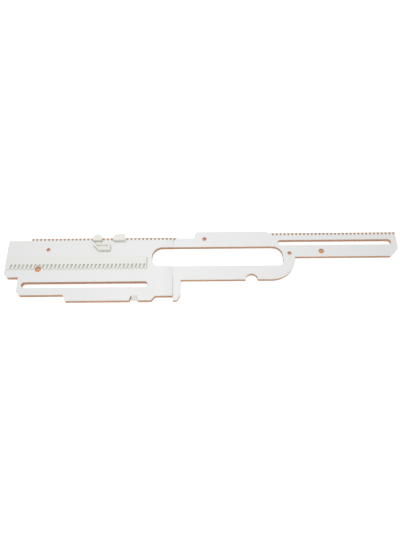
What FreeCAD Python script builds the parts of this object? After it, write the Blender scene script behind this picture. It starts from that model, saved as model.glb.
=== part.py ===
import FreeCAD, Part
import math
import os

# Slide rule: a laminated stock, a slide that draws out of it, a runner and an end stop.
# Millimetres. +X runs from the stock to the end of the slide's arm, +Y to the toothed rear edge,
# +Z up from the surface that the rule lies on. The parts are drawn about the window's long axis
# and written out with the centre of the whole outline on the origin.

# Overall plan
LEFT = -155.0
RIGHT = 155.0
FRONT = -28.5
REAR = 30.4
OUTLINE_CENTRE = (FRONT + REAR) / 2.0
SEAM = -23.9              # right end of the stock
SEAM_GAP = 0.15           # the slide's shoulder stops this far from the stock

# Layers, from the underside up
BACK_TOP = 0.6            # stock back plate
STOCK_CORE_TOP = 3.9      # rails and end block
STOCK_TOP = 4.4           # stock facing
VENEER_TOP = 0.3          # balancing veneer under the slide
TONGUE_BOTTOM = 0.7
SLIDE_CORE_TOP = 3.4
SLIDE_TOP = 3.8           # slide facing, 0.1 under the stock facing
RAMP_START = -33.0        # the stock facing thins from here to the seam
RAMP_DROP = 0.27
CUT_BOTTOM = -1.0         # cutters for through openings reach from here
CUT_TOP = 9.0             # to here

# Channel between the rails, and the tongue that runs in it
CHANNEL_END = -113.0
CHANNEL_FRONT = -8.5
CHANNEL_REAR = 20.5
RUN_CLEARANCE = 0.1
TONGUE_END_GAP = 0.5
TRAVEL = 60.0             # how far the slide draws out

# Teeth, module 1, cut in the facings only, so that the core shows between them
MODULE = 1.0
PITCH = math.pi * MODULE
TOOTH_DEPTH = 2.25 * MODULE
GULLET_ROOT = 0.45        # half widths of a gullet
GULLET_MOUTH = 1.15
STOCK_TIPS = 25.3
STOCK_RACK_START = -137.0
STOCK_FIRST_GULLET = -135.93
STOCK_GULLETS = 37        # the last one stands on the slide, past the seam
ARM_TIPS = 28.9
ARM_FIRST_GULLET = 56.3
ARM_GULLETS = 32

# Window, slots and holes
WINDOW = (-40.5, 63.1, 0.2, 16.8)
STOCK_SLOT = (-140.3, -43.2, -17.4, -12.75)
ARM_SLOT = (59.5, 150.5, 17.9, 22.4)
FRAME_FRONT = -11.6
ARM_FRONT = 7.6
THUMB_NOTCH = (37.3, FRAME_FRONT, 4.75)
STOCK_FRONT = -28.3
NOTCH = (-55.3, -50.5, -24.2)     # notch in the stock's front edge, filled by a ramp
NOTCH_RAMP_FRONT = -27.5
NOTCH_RAMP_FOOT = 0.5
# Blind holes: x, y, radius, depth
STOCK_HOLES = [(-122.7, 15.0, 1.6, 2.0), (-128.9, -1.9, 2.4, 2.3)]
SLIDE_HOLES = [(1.1, 23.8, 1.7, 2.2), (68.3, 10.6, 1.6, 2.0), (93.7, 12.2, 2.2, 1.8)]

# Middle rack, let into the stock facing over a dust strip
RIB = (-153.5, -44.5)
RIB_FRONT = 2.0           # roots of its gaps
RIB_REAR = 7.5
RIB_TIPS = -2.2
RIB_TOP = STOCK_TOP + 0.7
RIB_GAPS = 34
RIB_FIRST_GAP = -151.3
RIB_FOOT_FRONT = -1.3     # the teeth overhang the facing in front of the foot
RIB_GAP_WIDTH = 1.5
RIB_GAP_SLANT = 0.9
BED = (-153.6, -43.9, RIB_FOOT_FRONT, RIB_REAR)
BED_TOP = STOCK_CORE_TOP + 0.2
RIB_HOLE_RELIEF = 0.6     # the rack stands this far back from the hole that it meets

# Runner and end stop
BLOCK_TOP = STOCK_TOP + 3.0
BLOCK_BASE = STOCK_TOP + 0.05
WEB_TOP = BLOCK_BASE + 0.6
HOOK_INNER = STOCK_TIPS + 0.1
BACK_REAR = 22.7          # rear edge of the back plate, which leaves a rabbet for the hook lips
LIP_FRONT = BACK_REAR + 0.1
LIP_BOTTOM = 0.1
LIP_TOP = BACK_TOP - 0.1
RECESS_TOP = BLOCK_BASE + 0.8
BLOCK_BEVEL = 0.35

# Fasteners and springs
SCREW_SHANK = 0.7
SCREW_HEAD = 1.0
SCREW_HEAD_DEPTH = 0.4
DRIVER_SLOT = 0.3
DRIVER_SLOT_DEPTH = 0.25
STOP_PIN = (-32.0, -5.0, 1.5)
STOP_GROOVE_TOP = 2.4
PIN_END_GAP = 0.3
SPRING_POCKET = (-86.0, -56.0, CHANNEL_FRONT - 1.1, CHANNEL_FRONT)
POCKET_WALL = 0.4         # core left under and over the spring pocket
LEAF = 0.2                # spring strip thickness
LEAF_SIDE_GAP = 0.1
LEAF_CLEAR = 0.02


def vec(x, y, z=0.0):
    """A point."""
    return FreeCAD.Vector(x, y, z)


def profile(corners):
    """Closed wire through (x, y) or (x, y, radius) corners; a radius rounds its corner."""
    rounded = []
    count = len(corners)
    for i, corner in enumerate(corners):
        here = vec(corner[0], corner[1])
        radius = corner[2] if len(corner) > 2 else 0.0
        back = (vec(*corners[i - 1][:2]) - here).normalize()
        ahead = (vec(*corners[(i + 1) % count][:2]) - here).normalize()
        if radius == 0.0:
            rounded.append((here, None, here))
            continue
        half = back.getAngle(ahead) / 2.0
        bisector = (back + ahead).normalize()
        centre = here + bisector * (radius / math.sin(half))
        reach = radius / math.tan(half)
        rounded.append((here + back * reach, centre - bisector * radius, here + ahead * reach))
    edges = []
    for i, (start, middle, end) in enumerate(rounded):
        if middle is not None:
            edges.append(Part.Arc(start, middle, end).toShape())
        following = rounded[(i + 1) % count][0]
        if end.distanceToPoint(following) > 1e-4:
            edges.append(Part.LineSegment(end, following).toShape())
    return Part.Wire(Part.__sortEdges__(edges))


def plate(corners, z0, z1):
    """Flat plate of the given outline between two heights."""
    face = Part.Face(profile(corners))
    face.translate(vec(0, 0, z0))
    return face.extrude(vec(0, 0, z1 - z0))


def box(x0, x1, y0, y1, z0, z1):
    """Box between two corners."""
    return Part.makeBox(x1 - x0, y1 - y0, z1 - z0, vec(x0, y0, z0))


def rod(x, y, radius, z0, z1):
    """Upright cylinder."""
    return Part.makeCylinder(radius, z1 - z0, vec(x, y, z0))


def slot(span, z0=CUT_BOTTOM, z1=CUT_TOP):
    """Slot with fully rounded ends."""
    x0, x1, y0, y1 = span
    r = (y1 - y0) / 2.0 - 1e-3
    return plate([(x0, y0, r), (x1, y0, r), (x1, y1, r), (x0, y1, r)], z0, z1)


def window():
    """Cutter for the long window, tighter at its front corners than at its rear ones."""
    x0, x1, y0, y1 = WINDOW
    corners = [(x0, y0, 6.0), (x1, y0, 4.0), (x1, y1, 8.3), (x0, y1, 8.3)]
    return plate(corners, CUT_BOTTOM, CUT_TOP)


def gullets(first, count, tips):
    """Gaps between the teeth of a rack whose tips are on y = tips."""
    cuts = []
    root = tips - TOOTH_DEPTH
    for i in range(count):
        x = first + i * PITCH
        corners = [
            (x - GULLET_ROOT, root),
            (x + GULLET_ROOT, root),
            (x + GULLET_MOUTH, tips),
            (x + GULLET_MOUTH, tips + 1.0),
            (x - GULLET_MOUTH, tips + 1.0),
            (x - GULLET_MOUTH, tips),
        ]
        cuts.append(plate(corners, CUT_BOTTOM, CUT_TOP))
    return cuts


def rear_gullets():
    """Gullets of the rear edge."""
    return gullets(STOCK_FIRST_GULLET, STOCK_GULLETS, STOCK_TIPS)


def arm_gullets():
    """Gullets of the arm's rear edge."""
    return gullets(ARM_FIRST_GULLET, ARM_GULLETS, ARM_TIPS)


def through(holes):
    """Cutters for round holes that go right through."""
    return [rod(x, y, r, CUT_BOTTOM, CUT_TOP) for x, y, r in holes]


def blind(holes, top, relief=0.0):
    """Cutters for round holes sunk into the face at z = top, widened by the relief."""
    return [rod(x, y, r + relief, top - depth, CUT_TOP) for x, y, r, depth in holes]


def countersunk_screw(x, y, z0, length):
    """Countersunk screw driven upwards from z0, without its driver slot."""
    head = Part.makeCone(SCREW_HEAD, SCREW_SHANK, SCREW_HEAD_DEPTH, vec(x, y, z0))
    shank = rod(x, y, SCREW_SHANK, z0 + SCREW_HEAD_DEPTH, z0 + length)
    return head.fuse(shank).removeSplitter()


def slotted(screw, x, y, z0):
    """The screw with its driver slot."""
    half = DRIVER_SLOT / 2.0
    driver = box(x - SCREW_HEAD, x + SCREW_HEAD, y - half, y + half, z0, z0 + DRIVER_SLOT_DEPTH)
    return screw.cut(driver)


def bowed_leaf(x0, x1, ends, crown, z0, z1):
    """Leaf spring bowed in plan: its ends touch y = ends and its middle reaches y = crown."""
    middle = (x0 + x1) / 2.0
    outward = LEAF if crown > ends else -LEAF
    outer = Part.Arc(vec(x0, ends + outward), vec(middle, crown), vec(x1, ends + outward)).toShape()
    inner = Part.Arc(vec(x0, ends), vec(middle, crown - outward), vec(x1, ends)).toShape()
    left = Part.LineSegment(vec(x0, ends), vec(x0, ends + outward)).toShape()
    right = Part.LineSegment(vec(x1, ends), vec(x1, ends + outward)).toShape()
    face = Part.Face(Part.Wire(Part.__sortEdges__([outer, right, inner, left])))
    face.translate(vec(0, 0, z0))
    return face.extrude(vec(0, 0, z1 - z0))


def underside_leaf(recess, margin):
    """Leaf in a recess under a block, bowed down to the stock facing."""
    x0, x1, y0, y1 = recess
    gap = LEAF_SIDE_GAP
    crown = STOCK_TOP + LEAF_CLEAR
    leaf = bowed_leaf(x0 + gap, x1 - gap, RECESS_TOP, crown, margin - y1, -margin - y0)
    leaf.rotate(vec(0, 0, 0), vec(1, 0, 0), 90.0)
    return leaf


# Outlines

STOCK_OUTLINE = [
    (LEFT, 23.3, 0.6),
    (LEFT, -5.8),
    (-152.3, CHANNEL_FRONT),
    (-143.5, CHANNEL_FRONT),
    (-143.5, -20.7),
    (-140.9, -23.3),
    (-107.6, -23.3),
    (-105.2, STOCK_FRONT),
    (NOTCH[0] - 1.6, STOCK_FRONT),
    (NOTCH[0], NOTCH[2]),
    (NOTCH[1], NOTCH[2]),
    (NOTCH[1], STOCK_FRONT),
    (-40.3, STOCK_FRONT),
    (-37.1, -24.7),
    (SEAM, -24.7),
    (SEAM, STOCK_TIPS),
    (STOCK_RACK_START, STOCK_TIPS),
    (STOCK_RACK_START, 23.3),
]

SHOULDER = SEAM + SEAM_GAP
SLIDE_OUTLINE = [
    (SHOULDER, FRONT, 0.6),
    (-20.6, FRONT, 2.0),
    (-17.8, -23.6, 4.0),
    (-17.8, FRAME_FRONT, 0.8),
    (72.5, FRAME_FRONT, ARM_FRONT - FRAME_FRONT),
    (72.5, ARM_FRONT),
    (148.3, ARM_FRONT),
    (RIGHT, 14.2),
    (RIGHT, ARM_TIPS, 0.6),
    (53.0, ARM_TIPS),
    (50.5, REAR),
    (-4.9, REAR),
    (-6.9, 28.2),
    (-6.9, 24.8),
    (-19.7, 24.8),
    (-19.7, STOCK_TIPS),
    (SHOULDER, STOCK_TIPS),
]

TONGUE = (CHANNEL_END + TONGUE_END_GAP, SHOULDER + 1.0,
          CHANNEL_FRONT + RUN_CLEARANCE, CHANNEL_REAR - RUN_CLEARANCE)

SCREW_PLACES = [
    (-146.0, 21.7), (-112.0, 21.7), (-78.0, 21.7), (-44.0, 21.7),
    (-138.0, -20.5), (-108.0, -20.5), (-78.0, -20.5), (-44.0, -20.5),
    (-148.0, 8.0), (-148.0, -4.0),
]
STOCK_SCREW_LENGTH = 3.0


# Stock

def stock_screw(x, y):
    """One of the screws that hold the back plate to the rails."""
    return countersunk_screw(x, y, 0.0, STOCK_SCREW_LENGTH)


def stock_screws():
    """The screws of the back plate, one solid each."""
    return [slotted(stock_screw(x, y), x, y, 0.0) for x, y in SCREW_PLACES]


def stock_screw_holes():
    """Cutters for the same screws."""
    return [stock_screw(x, y) for x, y in SCREW_PLACES]


def spring_pocket():
    """Pocket in the channel's front wall for the leaf that steadies the slide."""
    return box(*SPRING_POCKET, BACK_TOP + POCKET_WALL, STOCK_CORE_TOP - POCKET_WALL)


def slide_spring():
    """Leaf that bows out of its pocket towards the tongue."""
    x0, x1, y0, y1 = SPRING_POCKET
    crown = y1 + RUN_CLEARANCE - LEAF_CLEAR
    gap = LEAF_SIDE_GAP
    low = BACK_TOP + POCKET_WALL + gap
    high = STOCK_CORE_TOP - POCKET_WALL - gap
    return bowed_leaf(x0 + gap, x1 - gap, y0, crown, low, high)


def stock_core():
    """Brown core of the stock before it is divided into its rails and end block."""
    core = plate(STOCK_OUTLINE, BACK_TOP, STOCK_CORE_TOP)
    cuts = blind(STOCK_HOLES, STOCK_TOP) + stock_screw_holes()
    cuts += [window(), slot(STOCK_SLOT), spring_pocket()]
    return core.cut(cuts)


def divided_core(x0, x1, y0, y1):
    """The part of the stock core in one rectangle of the plan."""
    return CORE.common(box(x0, x1, y0, y1, 0.0, STOCK_TOP))


def seam_ramp():
    """Wedge that thins the stock facing towards the seam."""
    corners = [(RAMP_START, STOCK_TOP), (SEAM, STOCK_TOP), (SEAM, STOCK_TOP - RAMP_DROP)]
    wedge = Part.Face(Part.makePolygon([vec(x, FRONT, z) for x, z in corners + corners[:1]]))
    return wedge.extrude(vec(0, REAR - FRONT, 0))


def stock_face():
    """White facing over the rails and the channel, pierced for the middle rack."""
    face = plate(STOCK_OUTLINE, STOCK_CORE_TOP, STOCK_TOP)
    cuts = rear_gullets() + blind(STOCK_HOLES, STOCK_TOP) + [seam_ramp()]
    cuts += [window(), slot(STOCK_SLOT), box(*BED, CUT_BOTTOM, CUT_TOP)]
    return face.cut(cuts)


def stock_back():
    """Thin plate that closes the channel from below and stops short of the rear teeth."""
    back = plate(STOCK_OUTLINE, 0.0, BACK_TOP)
    back = back.common(box(LEFT, SEAM, FRONT, BACK_REAR, 0.0, BACK_TOP))
    cuts = [window(), slot(STOCK_SLOT)] + through([STOP_PIN]) + stock_screw_holes()
    return back.cut(cuts)


def rack_bed():
    """Dull strip under the middle rack that keeps dust out of the channel."""
    return box(*BED, STOCK_CORE_TOP, BED_TOP).cut(blind(STOCK_HOLES, STOCK_TOP))


def middle_rack():
    """Raised rib with slanted teeth along its front and a foot that sits in the facing."""
    x0, x1 = RIB
    foot = box(x0, x1, RIB_FOOT_FRONT, RIB_REAR, BED_TOP, STOCK_TOP)
    rib = box(x0, x1, RIB_TIPS, RIB_REAR, STOCK_TOP, RIB_TOP).fuse(foot).removeSplitter()
    cuts = blind(STOCK_HOLES, STOCK_TOP, RIB_HOLE_RELIEF)
    for i in range(RIB_GAPS):
        x = RIB_FIRST_GAP + i * PITCH
        corners = [
            (x, RIB_TIPS),
            (x + RIB_GAP_WIDTH, RIB_TIPS),
            (x + RIB_GAP_WIDTH + RIB_GAP_SLANT, RIB_FRONT),
            (x + RIB_GAP_SLANT, RIB_FRONT),
        ]
        cuts.append(plate(corners, CUT_BOTTOM, CUT_TOP))
    return rib.cut(cuts)


def notch_ramp():
    """White ramp that fills the front notch, from the facing down to the table."""
    x0, x1, rear = NOTCH
    toe = NOTCH_RAMP_FRONT
    section = [(rear, 0.0), (rear, STOCK_TOP), (toe, NOTCH_RAMP_FOOT), (toe, 0.0)]
    side = Part.Face(Part.makePolygon([vec(x0, y, z) for y, z in section + section[:1]]))
    return side.extrude(vec(x1 - x0, 0, 0))


def stop_pin():
    """Pin in the back plate that runs in the tongue's groove and ends the slide's travel."""
    return rod(*STOP_PIN, 0.0, STOP_GROOVE_TOP - PIN_END_GAP)


# Slide

def slide_cuts():
    """Cutters for the slide's window, slot, thumb notch and blind holes."""
    return [window(), slot(ARM_SLOT)] + through([THUMB_NOTCH]) + blind(SLIDE_HOLES, SLIDE_TOP)


def slide_core():
    """Brown core of the slide: the plate outside the stock and the thinner tongue inside it."""
    body = plate(SLIDE_OUTLINE, VENEER_TOP, SLIDE_CORE_TOP)
    body = body.fuse(box(*TONGUE, TONGUE_BOTTOM, SLIDE_CORE_TOP)).removeSplitter()
    pin_x, pin_y, pin_r = STOP_PIN
    half = pin_r + RUN_CLEARANCE
    groove = (pin_x - TRAVEL - half, pin_x + half, pin_y - half, pin_y + half)
    return body.cut(slide_cuts() + [slot(groove, 0.0, STOP_GROOVE_TOP)])


def slide_face():
    """White facing of the slide and its tongue."""
    face = plate(SLIDE_OUTLINE, SLIDE_CORE_TOP, SLIDE_TOP)
    face = face.fuse(box(*TONGUE, SLIDE_CORE_TOP, SLIDE_TOP)).removeSplitter()
    return face.cut(slide_cuts() + rear_gullets() + arm_gullets())


def slide_back():
    """Balancing veneer under the slide, outside the stock only."""
    return plate(SLIDE_OUTLINE, 0.0, VENEER_TOP).cut(slide_cuts())


# Runner

HOOK_OUTLINE = [
    (-88.1, 23.1), (-87.2, 21.7), (-80.8, 21.7), (-80.2, 24.6), (-81.4, 27.0), (-84.6, 27.7),
    (-87.0, 26.3),
]
THUMB_OUTLINE = [(-87.7, 18.8, 0.5), (-82.6, 13.2, 0.8), (-73.4, 13.2, 0.4), (-73.6, 18.9, 0.4)]
THUMB_POCKET = [(-84.8, 17.6), (-81.0, 14.4, 0.4), (-75.2, 14.4, 0.4), (-75.3, 17.6, 0.3)]
THUMB_POCKET_DEPTH = 1.0
WEB_OUTLINE = [(-85.4, 24.9), (-85.4, 17.5), (-82.0, 14.2), (-81.3, 14.2), (-81.3, 24.9)]
THUMB_RECESS = (-80.4, -74.8, 14.2, 17.0)
RUNNER_SCREWS = [(-83.4, 22.9), (-82.9, 16.4)]
RUNNER_SCREW_LENGTH = 1.5


def clip(outline, wall, base):
    """Block on the stock facing with a wall behind the teeth and a lip under them."""
    x0, x1 = wall
    block = plate(outline, base, BLOCK_TOP)
    zone = plate(outline, LIP_BOTTOM, BLOCK_TOP)
    rear = zone.common(box(x0, x1, HOOK_INNER, REAR, LIP_BOTTOM, BLOCK_TOP))
    lip = box(x0, x1, LIP_FRONT, HOOK_INNER, LIP_BOTTOM, LIP_TOP)
    return block.fuse([rear, lip]).removeSplitter()


def top_chamfer(shape, size):
    """Bevel the long edges of a block's top."""
    edges = [e for e in shape.Edges if e.BoundBox.ZMin > BLOCK_TOP - 1e-4 and e.Length > 1.5]
    return shape.makeChamfer(size, edges)


def runner_hook():
    """Rear block of the runner, hooked over the toothed edge."""
    hook = clip(HOOK_OUTLINE, (-85.2, -81.2), WEB_TOP)
    return top_chamfer(hook, BLOCK_BEVEL).cut(runner_screw_holes())


def runner_thumb():
    """Front block of the runner, hollowed on top for a fingertip."""
    block = top_chamfer(plate(THUMB_OUTLINE, BLOCK_BASE, BLOCK_TOP), BLOCK_BEVEL)
    cuts = runner_screw_holes()
    cuts += [plate(THUMB_POCKET, BLOCK_TOP - THUMB_POCKET_DEPTH, CUT_TOP)]
    cuts += [plate(WEB_OUTLINE, BLOCK_BASE, WEB_TOP), box(*THUMB_RECESS, BLOCK_BASE, RECESS_TOP)]
    return block.cut(cuts)


def runner_web():
    """Thin plate under both blocks of the runner."""
    return plate(WEB_OUTLINE, BLOCK_BASE, WEB_TOP).cut(runner_screw_holes())


def runner_screw(x, y):
    """Screw from under the web into a block."""
    return countersunk_screw(x, y, BLOCK_BASE, RUNNER_SCREW_LENGTH)


def runner_screw_holes():
    """Cutters for the runner's screws."""
    return [runner_screw(x, y) for x, y in RUNNER_SCREWS]


def runner_screws():
    """The two screws of the runner."""
    return [slotted(runner_screw(x, y), x, y, BLOCK_BASE) for x, y in RUNNER_SCREWS]


def runner_spring():
    """Leaf in the recess under the thumb block."""
    return underside_leaf(THUMB_RECESS, 0.4)


# End stop

STOP_OUTLINE = [(-72.5, 23.6, 0.4), (-70.8, 21.7), (-62.0, 21.7), (-62.2, 27.5, 0.5), (-69.8, 27.5)]
STOP_RECESS = (-69.0, -63.2, 22.2, 24.6)


def end_stop():
    """Clip block that limits how far the runner goes to the right."""
    block = clip(STOP_OUTLINE, (-69.2, -62.6), BLOCK_BASE)
    return top_chamfer(block, BLOCK_BEVEL).cut(box(*STOP_RECESS, BLOCK_BASE, RECESS_TOP))


def end_stop_spring():
    """Leaf in the recess under the end stop."""
    return underside_leaf(STOP_RECESS, 0.3)


def write(name, shape):
    """Write one node's STEP file."""
    solids = shape if isinstance(shape, list) else shape.Solids
    valid = all(s.isValid() for s in solids)
    volume = sum(s.Volume for s in solids)
    print(f"{name}: {len(solids)} solids, valid {valid}, {volume:.1f} mm3")
    whole = Part.makeCompound(solids) if len(solids) > 1 else solids[0].copy()
    whole.translate(vec(0, -OUTLINE_CENTRE))
    whole.exportStep(f"parts/{name}.step")


CORE = stock_core()
os.makedirs("parts", exist_ok=True)
write("stock_face", stock_face())
write("stock_back", stock_back())
write("rear_rail", divided_core(LEFT, SEAM, CHANNEL_REAR, REAR))
write("front_rail", divided_core(LEFT, SEAM, FRONT, CHANNEL_FRONT))
write("end_block", divided_core(LEFT, CHANNEL_END, CHANNEL_FRONT, CHANNEL_REAR))
write("rack_bed", rack_bed())
write("middle_rack", middle_rack())
write("notch_ramp", notch_ramp())
write("stock_screws", stock_screws())
write("stop_pin", stop_pin())
write("slide_spring", slide_spring())
write("slide_core", slide_core())
write("slide_face", slide_face())
write("slide_back", slide_back())
write("runner_hook", runner_hook())
write("runner_thumb", runner_thumb())
write("runner_web", runner_web())
write("runner_screws", runner_screws())
write("runner_spring", runner_spring())
write("end_stop", end_stop())
write("end_stop_spring", end_stop_spring())
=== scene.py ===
# Looks of the laminated slide rule: softened plates, procedural finishes, studio and camera.

import logging
import math
from dataclasses import dataclass
from enum import Enum
from functools import cache

import bpy
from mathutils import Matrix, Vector


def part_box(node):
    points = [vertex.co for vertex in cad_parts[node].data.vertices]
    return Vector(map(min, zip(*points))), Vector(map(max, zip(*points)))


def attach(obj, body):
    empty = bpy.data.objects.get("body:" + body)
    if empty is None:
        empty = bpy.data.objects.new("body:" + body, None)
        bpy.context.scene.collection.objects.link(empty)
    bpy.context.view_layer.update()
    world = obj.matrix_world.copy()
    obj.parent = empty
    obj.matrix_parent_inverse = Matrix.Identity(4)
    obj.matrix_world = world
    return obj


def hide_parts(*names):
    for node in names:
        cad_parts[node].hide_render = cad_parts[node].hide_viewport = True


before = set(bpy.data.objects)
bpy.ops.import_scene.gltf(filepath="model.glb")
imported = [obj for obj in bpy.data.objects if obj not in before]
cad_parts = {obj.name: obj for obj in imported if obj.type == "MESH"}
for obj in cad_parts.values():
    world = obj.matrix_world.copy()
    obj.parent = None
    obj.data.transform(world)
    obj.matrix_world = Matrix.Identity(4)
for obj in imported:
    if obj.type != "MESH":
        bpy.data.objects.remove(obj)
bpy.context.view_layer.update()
LOG = logging.getLogger("slide_rule")

MM = 0.001

Triple = tuple[float, float, float]
WHITE = (1.0, 1.0, 1.0, 1.0)


class Body(str, Enum):
    """The rigid bodies that pieces ride on."""

    STOCK = "stock"
    SLIDE = "slide"
    RUNNER = "runner"
    END_STOP = "end_stop"


class Slot(str, Enum):
    """The record's material slots."""

    FACING = "white_facing"
    RACK = "white_rack"
    BLOCK = "white_block"
    CORE = "brown_core"
    # the dull olive strip under the rack gaps is painted shade for their depth
    STRIP = "dust_strip"
    BRASS = "brass"
    STEEL = "steel"


# Node helpers


class Board:
    """A node tree with short ways to add nodes and links."""

    MIX_FACTOR = 0
    MIX_FIRST = 6
    MIX_SECOND = 7
    MIX_RESULT = 2
    SHADE_SAMPLES = 8

    def __init__(self, tree: bpy.types.NodeTree) -> None:
        """Start from an emptied tree.

        Args:
            tree: the material's or group's node tree.
        """
        self.tree = tree
        tree.nodes.clear()

    def add(self, kind: str, settings: dict | None = None, **inputs: object) -> bpy.types.Node:
        """Add a node.

        Args:
            kind: the node's class name after "ShaderNode".
            settings: attributes of the node.
            inputs: socket values or source sockets, by socket name with underscores for spaces.

        Returns:
            The new node.
        """
        node = self.tree.nodes.new("ShaderNode" + kind)
        for name, value in (settings or {}).items():
            setattr(node, name, value)
        for name, value in inputs.items():
            self.feed(node, name.replace("_", " "), value)
        return node

    def feed(self, node: bpy.types.Node, socket: str | int, value: object) -> None:
        """Give a socket a value, or link it when the value is a source socket."""
        target = node.inputs[socket]
        if isinstance(value, bpy.types.NodeSocket):
            self.tree.links.new(value, target)
        else:
            target.default_value = value

    def math(self, operation: str, *values: object) -> bpy.types.NodeSocket:
        """Add a Math node and return its result."""
        node = self.add("Math", {"operation": operation})
        for index, value in enumerate(values):
            self.feed(node, index, value)
        return node.outputs["Value"]

    def ramp(self, source: object, low: object, high: object) -> bpy.types.NodeSocket:
        """Spread a value between two limits over 0 to 1, clamped."""
        node = self.add("MapRange", Value=source, From_Min=low, From_Max=high)
        return node.outputs["Result"]

    def blend(self, factor: object, first: object, second: object) -> bpy.types.NodeSocket:
        """Mix two colours and return the result."""
        node = self.add("Mix", {"data_type": "RGBA"})
        self.feed(node, self.MIX_FACTOR, factor)
        self.feed(node, self.MIX_FIRST, first)
        self.feed(node, self.MIX_SECOND, second)
        return node.outputs[self.MIX_RESULT]

    def noise(self, vector: object, scale: object, detail: float) -> bpy.types.NodeSocket:
        """Add a Noise Texture and return its factor."""
        return self.add("TexNoise", Vector=vector, Scale=scale, Detail=detail).outputs["Fac"]

    def stretched(self, vector: object, scale: Triple, turn: float = 0.0) -> bpy.types.NodeSocket:
        """Scale coordinates along each axis, after a turn about Z, and return them."""
        node = self.add("Mapping", Vector=vector, Scale=scale, Rotation=(0.0, 0.0, turn))
        return node.outputs["Vector"]

    def closeness(self, reach: object, settings: dict) -> bpy.types.NodeSocket:
        """Add an Ambient Occlusion node and return how far it is closed in, 0 to 1."""
        shade = self.add("AmbientOcclusion", {"samples": self.SHADE_SAMPLES, **settings}, Distance=reach)
        return self.math("SUBTRACT", 1.0, shade.outputs["AO"])

    def use(self, tree: bpy.types.NodeTree, **inputs: object) -> bpy.types.Node:
        """Place a shared group and give it its own values, by socket name."""
        return self.add("Group", {"node_tree": tree}, **inputs)


def new_group(
    name: str, inputs: dict[str, float], outputs: tuple[str, ...]
) -> tuple[Board, dict[str, bpy.types.NodeSocket], bpy.types.Node]:
    """Start a shader node group that takes a position.

    Args:
        name: the group's name.
        inputs: float inputs with their defaults.
        outputs: names of the values it puts out.

    Returns:
        The board, the group's inputs by name and its output node.
    """
    tree = bpy.data.node_groups.new(name, "ShaderNodeTree")
    tree.interface.new_socket("Position", in_out="INPUT", socket_type="NodeSocketVector")
    for label, default in inputs.items():
        socket = tree.interface.new_socket(label, in_out="INPUT", socket_type="NodeSocketFloat")
        socket.default_value = default
    for label in outputs:
        tree.interface.new_socket(label, in_out="OUTPUT", socket_type="NodeSocketFloat")
    board = Board(tree)
    given = tree.nodes.new("NodeGroupInput")
    return board, {socket.name: socket for socket in given.outputs}, tree.nodes.new("NodeGroupOutput")


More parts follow.
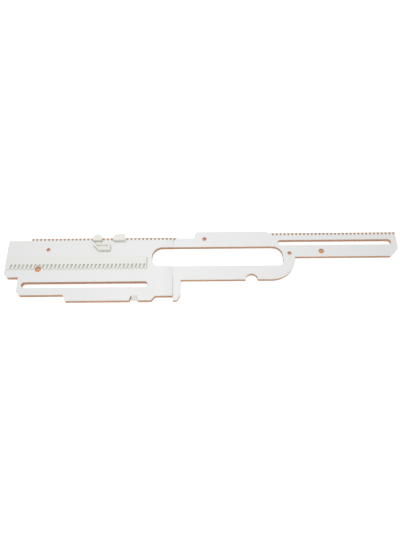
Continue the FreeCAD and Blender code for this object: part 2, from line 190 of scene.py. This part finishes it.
class Effects:
    """The shared shader node groups, each built once when first asked for."""

    LONG_STRETCH = (0.035, 1.0, 1.0)
    LONG_TURN = 0.06
    LONG_RANGE = (0.66, 0.76)
    SHORT_STRETCH = (1.0, 0.05, 1.0)
    SHORT_TURN = -0.5
    SHORT_RANGE = (0.7, 0.8)
    SHORT_SHARE = 0.6
    PATCH_SCALE = 60.0
    PATCH_RANGE = (0.45, 0.65)
    SMUDGE_RANGE = (0.42, 0.72)
    TONE_STRETCH = (0.4, 1.0, 1.0)
    TONE_SCALE = 14.0
    PEBBLE_SCALE = 2600.0
    PEBBLE_SHARE = 0.35

    WARP_STRETCH = (0.3, 1.0, 1.0)
    WARP_SCALE = 40.0
    WARP_REACH = 4.0 * MM
    FIBRE_STRETCH = (0.06, 1.0, 1.0)
    FIBRE_RANGE = (0.3, 0.7)
    FIBRE_SHARE = 0.5
    PORE_STRETCH = (0.12, 1.0, 1.0)
    PORE_RANGE = (0.62, 0.72)

    CLOUD_DETAIL = 3.0
    SHADE_DUST_CLOUD = (0.2, 0.6)
    SHADE_DUST_RANGE = (0.1, 0.7)
    HOLLOW_RANGE = (0.06, 0.5)
    RUB_RANGE = (0.15, 0.6)
    RUB_CLOUD = (0.35, 0.6)
    JOINT_SHADE_SCALE = 180.0
    JOINT_SHADE_DETAIL = 4.0
    JOINT_SHADE_SPREAD = 3.0 * MM
    JOINT_SHADE_FALL = 1.4

    @staticmethod
    @cache
    def handling() -> bpy.types.NodeTree:
        """Marks of use: fine scratches along the rule, smudges and broad tone changes."""
        fx = Effects
        board, given, out = new_group(
            "handling marks",
            {"Scratch Scale": 900.0, "Smudge Scale": 45.0},
            ("Scratches", "Smudges", "Tone", "Relief"),
        )
        place = given["Position"]
        along = board.stretched(place, fx.LONG_STRETCH, fx.LONG_TURN)
        across = board.stretched(place, fx.SHORT_STRETCH, fx.SHORT_TURN)
        long_marks = board.ramp(board.noise(along, given["Scratch Scale"], detail=2.0), *fx.LONG_RANGE)
        short_marks = board.ramp(board.noise(across, given["Scratch Scale"], detail=1.0), *fx.SHORT_RANGE)
        marks = board.math("MAXIMUM", long_marks, board.math("MULTIPLY", short_marks, fx.SHORT_SHARE))
        patches = board.ramp(board.noise(place, fx.PATCH_SCALE, detail=2.0), *fx.PATCH_RANGE)
        scratches = board.math("MULTIPLY", marks, patches)
        smudges = board.ramp(board.noise(place, given["Smudge Scale"], detail=5.0), *fx.SMUDGE_RANGE)
        pebble = board.math("MULTIPLY", board.noise(place, fx.PEBBLE_SCALE, detail=2.0), fx.PEBBLE_SHARE)
        board.feed(out, "Scratches", scratches)
        board.feed(out, "Smudges", smudges)
        tone = board.noise(board.stretched(place, fx.TONE_STRETCH), fx.TONE_SCALE, detail=2.0)
        board.feed(out, "Tone", tone)
        board.feed(out, "Relief", board.math("SUBTRACT", pebble, scratches))
        return board.tree

    @staticmethod
    @cache
    def grain() -> bpy.types.NodeTree:
        """Close wood grain that runs along the rule."""
        fx = Effects
        board, given, out = new_group(
            "wood grain", {"Grain Scale": 260.0, "Pore Scale": 1500.0}, ("Grain", "Pores", "Relief")
        )
        place = given["Position"]
        drawn = board.stretched(place, fx.WARP_STRETCH)
        warp = board.add("TexNoise", Vector=drawn, Scale=fx.WARP_SCALE).outputs["Color"]
        bent = board.add("VectorMath", {"operation": "SCALE"}, Vector=warp, Scale=fx.WARP_REACH)
        moved = board.add("VectorMath", {"operation": "ADD"})
        board.feed(moved, 0, place)
        board.feed(moved, 1, bent.outputs["Vector"])
        fibres = board.stretched(moved.outputs["Vector"], fx.FIBRE_STRETCH)
        grain = board.ramp(board.noise(fibres, given["Grain Scale"], detail=4.0), *fx.FIBRE_RANGE)
        dots = board.stretched(place, fx.PORE_STRETCH)
        pores = board.ramp(board.noise(dots, given["Pore Scale"], detail=1.0), *fx.PORE_RANGE)
        board.feed(out, "Grain", grain)
        board.feed(out, "Pores", pores)
        raised = board.math("MULTIPLY", grain, fx.FIBRE_SHARE)
        board.feed(out, "Relief", board.math("SUBTRACT", raised, pores))
        return board.tree

    @staticmethod
    @cache
    def hollow_shade_and_dust() -> bpy.types.NodeTree:
        """Mask of inner corners and gaps from ambient occlusion: painted shade, with some of the dust and
        oil that gather there.
        """
        fx = Effects
        board, given, out = new_group("hollow dirt", {"Reach": 1.5 * MM, "Breakup": 350.0}, ("Dirt",))
        cloud = board.noise(given["Position"], given["Breakup"], fx.CLOUD_DETAIL)
        closed = board.closeness(given["Reach"], {})
        broken = board.math("MULTIPLY", closed, board.ramp(cloud, *fx.SHADE_DUST_CLOUD))
        board.feed(out, "Dirt", board.ramp(broken, *fx.SHADE_DUST_RANGE))
        return board.tree

    @staticmethod
    @cache
    def painted_light_hollows() -> bpy.types.NodeTree:
        """Mask of a piece's own holes and slots, where its colour is painted paler as painted light
        against their shade.
        """
        board, given, out = new_group("own hollows", {"Reach": 5.0 * MM}, ("Hollow",))
        closed = board.closeness(given["Reach"], {"only_local": True})
        board.feed(out, "Hollow", board.ramp(closed, *Effects.HOLLOW_RANGE))
        return board.tree

    @staticmethod
    @cache
    def edge_rub() -> bpy.types.NodeTree:
        """Mask of outer edges and corners that hands and pockets rub."""
        fx = Effects
        board, given, out = new_group("edge rub", {"Width": 0.3 * MM, "Breakup": 500.0}, ("Rub",))
        cloud = board.noise(given["Position"], given["Breakup"], fx.CLOUD_DETAIL)
        edge = board.ramp(board.closeness(given["Width"], {"inside": True}), *fx.RUB_RANGE)
        board.feed(out, "Rub", board.math("MULTIPLY", edge, board.ramp(cloud, *fx.RUB_CLOUD)))
        return board.tree

    @staticmethod
    @cache
    def joint_shade() -> bpy.types.NodeTree:
        """Painted grey shade that deepens along X towards a joint, then stops."""
        fx = Effects
        board, given, out = new_group("joint grime", {"From": 1.0, "To": 2.0}, ("Grime",))
        place = given["Position"]
        cloud = board.noise(place, fx.JOINT_SHADE_SCALE, fx.JOINT_SHADE_DETAIL)
        ragged = board.math("MULTIPLY_ADD", cloud, fx.JOINT_SHADE_SPREAD, -fx.JOINT_SHADE_SPREAD / 2.0)
        x = board.add("SeparateXYZ", Vector=place).outputs["X"]
        built = board.ramp(board.math("ADD", x, ragged), given["From"], given["To"])
        before = board.math("LESS_THAN", x, given["To"])
        board.feed(out, "Grime", board.math("MULTIPLY", board.math("POWER", built, fx.JOINT_SHADE_FALL), before))
        return board.tree


# Finishes


def rgba(colour: Triple) -> tuple[float, float, float, float]:
    """A colour with full alpha."""
    return (*colour, 1.0)


@dataclass(frozen=True)
class Finish:
    """What every finish has: a name, a main colour, a roughness and how deep its relief is."""

    name: str
    colour: Triple
    roughness: float
    relief_depth: float = 0.01 * MM
    relief_strength: float = 0.6

    def start(self) -> tuple[bpy.types.Material, Board, bpy.types.Node, bpy.types.NodeSocket]:
        """Make the material with its shader and Object coordinates.

        Returns:
            The material, its board, its Principled BSDF and the coordinates socket.
        """
        material = bpy.data.materials.new(self.name)
        material.use_nodes = True
        board = Board(material.node_tree)
        shader = board.add("BsdfPrincipled")
        board.add("OutputMaterial", Surface=shader.outputs["BSDF"])
        return material, board, shader, board.add("TexCoord").outputs["Object"]

    def relief(self, board: Board, shader: bpy.types.Node, height: bpy.types.NodeSocket) -> None:
        """Drive the shader's normal from a height."""
        bump = board.add("Bump", Height=height, Strength=self.relief_strength, Distance=self.relief_depth)
        board.feed(shader, "Normal", bump.outputs["Normal"])

    def material(self) -> bpy.types.Material:
        """Build the material; each finish says how."""
        raise NotImplementedError


@dataclass(frozen=True)
class SheetPlastic(Finish):
    """White sheet or moulded plastic with handling marks, painted shade with some dust in its corners and
    painted shade towards a joint.
    """

    warm: Triple = (0.78, 0.75, 0.69)
    # tint of dust in scratches, and of the painted shade in corners and gaps
    dust_and_shade: Triple = (0.34, 0.27, 0.2)
    # grey of the painted shade towards a joint
    grey: Triple = (0.36, 0.36, 0.38)
    rubbed: Triple = (0.84, 0.83, 0.79)
    tone_range: tuple[float, float] = (0.35, 0.7)
    tone_amount: float = 0.16
    scratch_amount: float = 0.14
    # reach and strength of the painted shade, with some dust, in corners and gaps
    shade_dust_reach: float = 1.2 * MM
    shade_dust_amount: float = 0.4
    # where the painted shade towards a joint begins and ends, and how strong it is
    joint_shade_from: float = 1.0
    joint_shade_to: float = 2.0
    joint_shade_amount: float = 0.13
    rub_amount: float = 0.5
    smudge_roughness: float = 0.14
    dirt_roughness: float = 0.3
    rub_roughness: float = -0.12
    refraction: float = 1.49

    def material(self) -> bpy.types.Material:
        """Build the material.

        Returns:
            A white plastic with scratches, smudges, a faint uneven tone, corners darkened by painted shade
            with some dust, and a painted grey shade towards a joint.
        """
        material, board, shader, place = self.start()
        marks = board.use(Effects.handling(), Position=place).outputs
        dust_and_shade = board.use(Effects.hollow_shade_and_dust(), Position=place, Reach=self.shade_dust_reach).outputs["Dirt"]
        joint_shade_node = board.use(Effects.joint_shade(), Position=place, From=self.joint_shade_from, To=self.joint_shade_to)
        rub = board.use(Effects.edge_rub(), Position=place).outputs["Rub"]
        colour = rgba(self.colour)
        for mask, amount, tint in (
            (board.ramp(marks["Tone"], *self.tone_range), self.tone_amount, self.warm),
            (marks["Scratches"], self.scratch_amount, self.dust_and_shade),
            # painted shade: corners and gaps darken as if shaded, with a little dust
            (dust_and_shade, self.shade_dust_amount, self.dust_and_shade),
            # painted shade: the facing greys towards its joint with the slide, as if shaded by the step
            # there
            (joint_shade_node.outputs["Grime"], self.joint_shade_amount, self.grey),
            (rub, self.rub_amount, self.rubbed),
        ):
            colour = board.blend(board.math("MULTIPLY", mask, amount), colour, rgba(tint))
        board.feed(shader, "Base Color", colour)
        rough = self.roughness
        for mask, amount in (
            (marks["Smudges"], self.smudge_roughness),
            (dust_and_shade, self.dirt_roughness),
            (rub, self.rub_roughness),
        ):
            rough = board.math("MULTIPLY_ADD", mask, amount, rough)
        board.feed(shader, "Roughness", rough)
        board.feed(shader, "IOR", self.refraction)
        self.relief(board, shader, marks["Relief"])
        return material


@dataclass(frozen=True)
class CoreWood(Finish):
    """Orange-brown wood of the core."""

    dark: Triple = (0.37, 0.18, 0.09)
    pore: Triple = (0.18, 0.08, 0.04)
    rubbed: Triple = (0.54, 0.32, 0.2)
    # bright orange painted into the wood's own holes and slots: painted light
    hollow_light: Triple = (0.9, 0.56, 0.34)
    streak_amount: float = 0.65
    pore_amount: float = 0.7
    # reach and strength of the painted shade, with some dust, in corners and gaps
    shade_dust_reach: float = 2.0 * MM
    shade_dust_amount: float = 0.12
    hollow_light_amount: float = 0.7
    rub_width: float = 0.5 * MM
    rub_amount: float = 0.45
    smudge_scale: float = 90.0
    smudge_roughness: float = 0.2
    rub_roughness: float = -0.1

    def material(self) -> bpy.types.Material:
        """Build the material.

        Returns:
            A close-grained wood with pores, oiled in patches and painted paler in its own hollows as
            painted light.
        """
        material, board, shader, place = self.start()
        grain = board.use(Effects.grain(), Position=place).outputs
        marks = board.use(Effects.handling(), Position=place, Smudge_Scale=self.smudge_scale).outputs
        dust_and_shade = board.use(Effects.hollow_shade_and_dust(), Position=place, Reach=self.shade_dust_reach).outputs["Dirt"]
        hollow = board.use(Effects.painted_light_hollows(), Position=place).outputs["Hollow"]
        rub = board.use(Effects.edge_rub(), Position=place, Width=self.rub_width).outputs["Rub"]
        colour = rgba(self.colour)
        for mask, amount, tint in (
            (grain["Grain"], self.streak_amount, self.dark),
            (grain["Pores"], self.pore_amount, self.pore),
            # painted shade: corners and gaps darken as if shaded, with a little dust
            (dust_and_shade, self.shade_dust_amount, self.pore),
            # painted light: the wood's own holes and slots are painted bright orange to lift their shade
            (hollow, self.hollow_light_amount, self.hollow_light),
            (rub, self.rub_amount, self.rubbed),
        ):
            colour = board.blend(board.math("MULTIPLY", mask, amount), colour, rgba(tint))
        board.feed(shader, "Base Color", colour)
        rough = board.math("MULTIPLY_ADD", marks["Smudges"], self.smudge_roughness, self.roughness)
        board.feed(shader, "Roughness", board.math("MULTIPLY_ADD", rub, self.rub_roughness, rough))
        self.relief(board, shader, grain["Relief"])
        return material


@dataclass(frozen=True)
class DrawnMetal(Finish):
    """Brass or spring steel with drawn streaks and tarnish."""

    tarnish: Triple = (0.2, 0.14, 0.08)
    tarnish_amount: float = 0.45
    scratch_scale: float = 2500.0
    smudge_scale: float = 400.0
    smudge_roughness: float = 0.25

    def material(self) -> bpy.types.Material:
        """Build the material.

        Returns:
            A metal with fine streaks and dull patches.
        """
        material, board, shader, place = self.start()
        scales = {"Scratch_Scale": self.scratch_scale, "Smudge_Scale": self.smudge_scale}
        marks = board.use(Effects.handling(), Position=place, **scales).outputs
        dull = board.math("MULTIPLY", marks["Smudges"], self.tarnish_amount)
        board.feed(shader, "Base Color", board.blend(dull, rgba(self.colour), rgba(self.tarnish)))
        rough = board.math("MULTIPLY_ADD", marks["Smudges"], self.smudge_roughness, self.roughness)
        board.feed(shader, "Roughness", rough)
        board.feed(shader, "Metallic", 1.0)
        self.relief(board, shader, marks["Relief"])
        return material


@dataclass(frozen=True)
class StudioFloor(Finish):
    """Pale matt floor that glows a little, so that the shadows on it stay soft."""

    cool: Triple = (0.97, 0.97, 0.97)
    tone_scale: float = 3.0
    glow: float = 0.45

    def material(self) -> bpy.types.Material:
        """Build the material.

        Returns:
            A matt white with a faint uneven tone and a glow of its own.
        """
        material, board, shader, place = self.start()
        tone = board.noise(place, self.tone_scale, detail=2.0)
        board.feed(shader, "Base Color", board.blend(tone, rgba(self.colour), rgba(self.cool)))
        board.feed(shader, "Roughness", self.roughness)
        board.feed(shader, "Emission Color", WHITE)
        board.feed(shader, "Emission Strength", self.glow)
        return material


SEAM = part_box("stock_face")[1][0]
# the facing's painted shade band runs this far back from the joint
JOINT_SHADE_LENGTH = 9.5 * MM

FINISHES: dict[Slot, Finish] = {
    Slot.FACING: SheetPlastic(
        "white_facing_sheet", (0.76, 0.77, 0.765), 0.4, joint_shade_from=SEAM - JOINT_SHADE_LENGTH, joint_shade_to=SEAM
    ),
    Slot.RACK: SheetPlastic("white_rack_moulding", (0.75, 0.755, 0.725), 0.42, shade_dust_amount=0.25),
    Slot.BLOCK: SheetPlastic("white_block_moulding", (0.75, 0.745, 0.705), 0.46, shade_dust_reach=2.0 * MM),
    Slot.CORE: CoreWood("brown_core_wood", (0.49, 0.265, 0.15), 0.5, relief_depth=0.03 * MM),
    # painted shade: the rack bed's dull olive colour makes the rack gaps look shaded
    Slot.STRIP: SheetPlastic(
        "dull_dust_strip", (0.5, 0.5, 0.43), 0.7, warm=(0.42, 0.4, 0.33), shade_dust_amount=0.1
    ),
    Slot.BRASS: DrawnMetal("dull_brass", (0.72, 0.53, 0.24), 0.3),
    Slot.STEEL: DrawnMetal("spring_steel", (0.6, 0.6, 0.6), 0.28, tarnish=(0.25, 0.22, 0.2)),
}


class Palette:
    """Holds one material per slot."""

    def __init__(self) -> None:
        """Build every finish once."""
        self.materials = {slot: finish.material() for slot, finish in FINISHES.items()}

    def dress(self, piece: bpy.types.Object, slot: Slot) -> None:
        """Give a piece the material of a slot."""
        piece.data.materials.clear()
        piece.data.materials.append(self.materials[slot])


# Modelling


@dataclass(frozen=True)
class Rounding:
    """How the sharp edges of a piece are rounded.

    Attributes:
        width: the rounding's width, in metres.
        segments: how many faces go round each edge.
    """

    width: float
    segments: int = 2


class Bench:
    """Mesh work through operators on one piece at a time."""

    MERGE_DISTANCE = 0.002 * MM
    FLAT_ANGLE = math.radians(0.5)
    SHARP_ANGLE = math.radians(32.0)

    @staticmethod
    def take(piece: bpy.types.Object) -> None:
        """Deselect all and make one piece active and selected."""
        bpy.ops.object.select_all(action="DESELECT")
        piece.select_set(True)
        bpy.context.view_layer.objects.active = piece

    @classmethod
    def copy_of(cls, node: str, name: str) -> bpy.types.Object:
        """Copy a CAD node's mesh into a new piece and merge its loose triangles.

        Args:
            node: the CAD node.
            name: the new piece's name.

        Returns:
            The piece, with flat regions joined into single faces.
        """
        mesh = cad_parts[node].data.copy()
        mesh.name = name
        piece = bpy.data.objects.new(name, mesh)
        bpy.context.scene.collection.objects.link(piece)
        cls.take(piece)
        if mesh.has_custom_normals:
            bpy.ops.mesh.customdata_custom_splitnormals_clear()
        bpy.ops.object.mode_set(mode="EDIT")
        bpy.ops.mesh.select_all(action="SELECT")
        bpy.ops.mesh.remove_doubles(threshold=cls.MERGE_DISTANCE)
        bpy.ops.mesh.dissolve_limited(angle_limit=cls.FLAT_ANGLE)
        bpy.ops.object.mode_set(mode="OBJECT")
        return piece

    @classmethod
    def soften(cls, piece: bpy.types.Object, rounding: Rounding) -> None:
        """Round a piece's sharp edges."""
        cls.take(piece)
        bpy.ops.object.shade_smooth()
        bevel = piece.modifiers.new("softened edges", "BEVEL")
        bevel.width = rounding.width
        bevel.segments = rounding.segments
        bevel.limit_method = "ANGLE"
        bevel.angle_limit = cls.SHARP_ANGLE
        bevel.harden_normals = True
        bevel.miter_outer = "MITER_ARC"
        bpy.ops.object.modifier_apply(modifier=bevel.name)


@dataclass
class SubAssembly:
    """A body's pieces: softened copies of its plates and blocks, and CAD nodes that stay as they are."""

    body: Body
    palette: Palette

    def softened(self, node: str, slot: Slot, rounding: Rounding) -> None:
        """Replace a CAD node with a copy whose edges are rounded.

        Args:
            node: the CAD node.
            slot: its material slot.
            rounding: the rounding of its edges.
        """
        piece = Bench.copy_of(node, node + "_finished")
        Bench.soften(piece, rounding)
        self.palette.dress(piece, slot)
        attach(piece, self.body.value)
        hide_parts(node)
        LOG.info("%s: %d faces on %s", piece.name, len(piece.data.polygons), self.body.value)

    def keep(self, slot: Slot, *nodes: str) -> None:
        """Give CAD nodes that keep their shape their finish."""
        for node in nodes:
            self.palette.dress(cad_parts[node], slot)
            LOG.info("%s: CAD shape kept", node)

    def build(self) -> None:
        """Make the pieces; each sub-assembly says how."""
        raise NotImplementedError


@dataclass(frozen=True)
class StockEdges:
    """Roundings of the stock's pieces."""

    sheet: Rounding = Rounding(0.16 * MM)
    rack: Rounding = Rounding(0.12 * MM)
    ramp: Rounding = Rounding(0.1 * MM)
    core: Rounding = Rounding(0.08 * MM, 1)
    screw: Rounding = Rounding(0.05 * MM)


@dataclass
class Stock(SubAssembly):
    """Facing, rails, end block, back plate and the middle rack."""

    edges: StockEdges = StockEdges()

    def build(self) -> None:
        """Make the stock's pieces."""
        self.softened("stock_face", Slot.FACING, self.edges.sheet)
        self.softened("middle_rack", Slot.RACK, self.edges.rack)
        self.softened("notch_ramp", Slot.FACING, self.edges.ramp)
        for node in ("front_rail", "rear_rail", "end_block", "stock_back"):
            self.softened(node, Slot.CORE, self.edges.core)
        # the rack bed's dull strip colour is painted shade in the rack gaps
        self.keep(Slot.STRIP, "rack_bed")
        self.softened("stock_screws", Slot.BRASS, self.edges.screw)
        self.keep(Slot.STEEL, "stop_pin", "slide_spring")


@dataclass(frozen=True)
class SlideEdges:
    """Roundings of the slide's pieces."""

    sheet: Rounding = Rounding(0.16 * MM)
    core: Rounding = Rounding(0.08 * MM, 1)
    veneer: Rounding = Rounding(0.08 * MM, 1)


@dataclass
class Slide(SubAssembly):
    """The slide's core between its two facings."""

    edges: SlideEdges = SlideEdges()

    def build(self) -> None:
        """Make the slide's pieces."""
        self.softened("slide_face", Slot.FACING, self.edges.sheet)
        self.softened("slide_core", Slot.CORE, self.edges.core)
        self.softened("slide_back", Slot.FACING, self.edges.veneer)


@dataclass(frozen=True)
class RunnerEdges:
    """Roundings of the runner's pieces."""

    block: Rounding = Rounding(0.2 * MM, 3)
    web: Rounding = Rounding(0.1 * MM)
    screw: Rounding = Rounding(0.05 * MM)


@dataclass
class Runner(SubAssembly):
    """The clip-on runner."""

    edges: RunnerEdges = RunnerEdges()

    def build(self) -> None:
        """Make the runner's pieces."""
        self.softened("runner_hook", Slot.BLOCK, self.edges.block)
        self.softened("runner_thumb", Slot.BLOCK, self.edges.block)
        self.softened("runner_web", Slot.BLOCK, self.edges.web)
        self.softened("runner_screws", Slot.BRASS, self.edges.screw)
        self.keep(Slot.STEEL, "runner_spring")


@dataclass
class EndStop(SubAssembly):
    """The clip-on end stop."""

    edge: Rounding = Rounding(0.2 * MM, 3)

    def build(self) -> None:
        """Make the end stop's pieces."""
        self.softened("end_stop", Slot.BLOCK, self.edge)
        self.keep(Slot.STEEL, "end_stop_spring")


# Studio


@dataclass(frozen=True)
class Lamp:
    """One square area light that faces the rule.

    Attributes:
        name: the light's name.
        place: where it stands.
        size: its side, in metres.
        power: its power, in watts.
    """

    name: str
    place: Triple
    size: float
    power: float

    def build(self) -> None:
        """Add the light."""
        light = bpy.data.lights.new(self.name, "AREA")
        light.shape = "SQUARE"
        light.size = self.size
        light.energy = self.power
        lamp = bpy.data.objects.new(self.name, light)
        lamp.location = self.place
        lamp.rotation_euler = (-Vector(self.place)).to_track_quat("-Z", "Y").to_euler()
        bpy.context.scene.collection.objects.link(lamp)


@dataclass(frozen=True)
class Studio:
    """Floor, lights and camera."""

    floor_size: float = 4.0
    floor_drop: float = 0.02 * MM
    floor_finish: StudioFloor = StudioFloor("pale_floor", (0.95, 0.95, 0.95), 0.85)
    surround: float = 0.6
    lamps: tuple[Lamp, ...] = (
        Lamp("key", (-0.045, 0.05, 0.42), 0.3, 0.91),
        Lamp("front", (0.0, -0.9, 0.34), 0.6, 0.5),
    )
    aim: Triple = (-0.0027, -0.00165, 0.0044)
    eye_offset: Triple = (-0.00155, -0.16096, 0.34521)
    focal_length: float = 32.97
    sensor: float = 36.0
    near_clip: float = 0.01

    def floor(self) -> None:
        """Add the floor under the rule."""
        bpy.ops.object.select_all(action="DESELECT")
        bpy.ops.mesh.primitive_plane_add(size=self.floor_size, location=(0.0, 0.0, -self.floor_drop))
        plane = bpy.context.active_object
        plane.name = "studio_floor"
        bpy.ops.object.transform_apply(location=True, rotation=True, scale=True)
        plane.data.materials.append(self.floor_finish.material())

    def light(self) -> None:
        """Light the rule from overhead and a little from low in front, in a bright surround."""
        bpy.context.scene.view_settings.view_transform = "Standard"
        world = bpy.data.worlds.new("studio")
        bpy.context.scene.world = world
        world.use_nodes = True
        background = world.node_tree.nodes["Background"]
        background.inputs["Color"].default_value = WHITE
        background.inputs["Strength"].default_value = self.surround
        for lamp in self.lamps:
            lamp.build()

    def camera(self) -> None:
        """Place the camera."""
        data = bpy.data.cameras.new("camera")
        data.sensor_width = self.sensor
        data.lens = self.focal_length
        data.clip_start = self.near_clip
        camera = bpy.data.objects.new("camera", data)
        camera.location = Vector(self.aim) + Vector(self.eye_offset)
        camera.rotation_euler = (-Vector(self.eye_offset)).to_track_quat("-Z", "Y").to_euler()
        bpy.context.scene.collection.objects.link(camera)
        bpy.context.scene.camera = camera

    def build(self) -> None:
        """Set the whole studio."""
        self.camera()
        self.floor()
        self.light()


def main() -> None:
    """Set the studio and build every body's pieces."""
    logging.basicConfig(level=logging.INFO, format="%(name)s: %(message)s")
    Studio().build()
    palette = Palette()
    for kind, body in (
        (Stock, Body.STOCK),
        (Slide, Body.SLIDE),
        (Runner, Body.RUNNER),
        (EndStop, Body.END_STOP),
    ):
        kind(body, palette).build()


if __name__ == "__main__":
    main()
